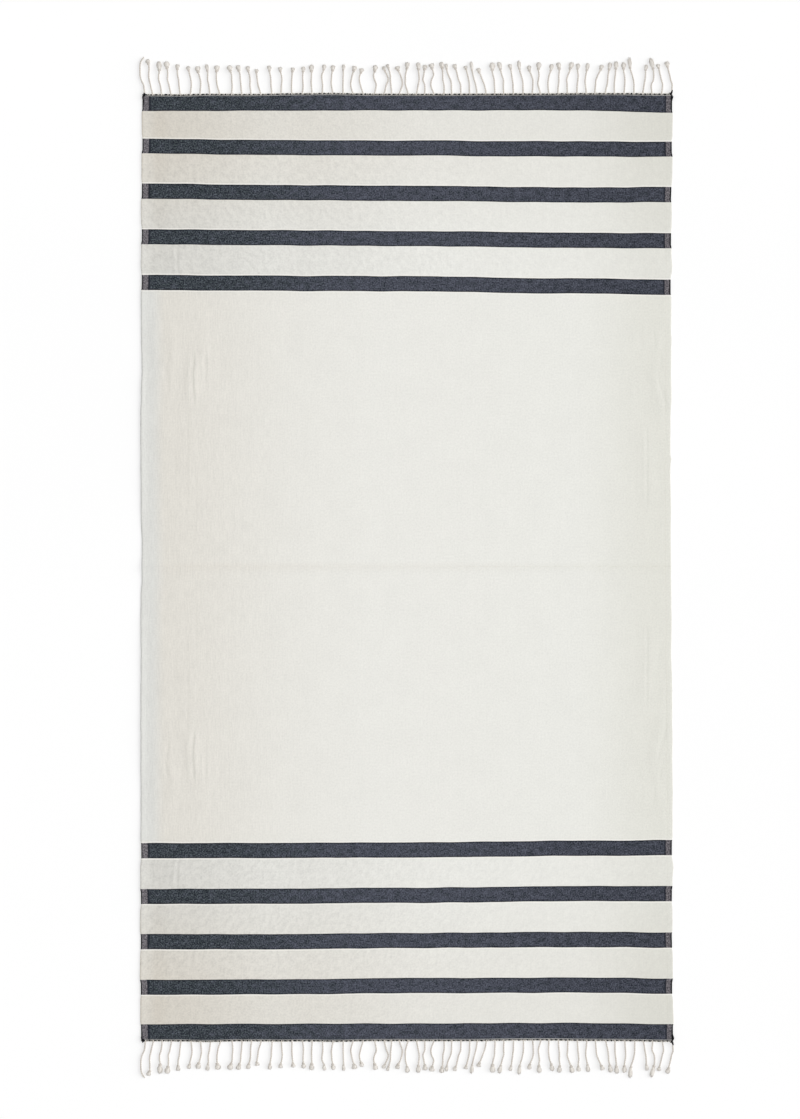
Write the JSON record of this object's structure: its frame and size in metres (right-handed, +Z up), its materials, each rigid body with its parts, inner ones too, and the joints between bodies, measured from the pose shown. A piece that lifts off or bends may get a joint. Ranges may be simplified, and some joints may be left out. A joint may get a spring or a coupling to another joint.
{
  "type": "beach towel",
  "caption": "Flat-woven cotton beach towel laid flat, cream with navy stripes across both ends and knotted fringes.",
  "frame": {"origin": "centre of the towel, on the surface it lies on", "axes": "+X across the towel towards its right selvedge, +Y along it towards its top end in the picture, +Z up from the surface"},
  "size_m": [1.0068, 1.9242, 0.0056],
  "materials": {
    "cloth": "matt cream flat-woven cotton with navy stripes woven across both ends",
    "fringe": "matt ecru twisted cotton strands with knots"
  },
  "bodies": {
    "root": {"towel_cloth": "cloth", "fringe_top": "fringe", "fringe_bottom": "fringe"}
  },
  "joints": []
}
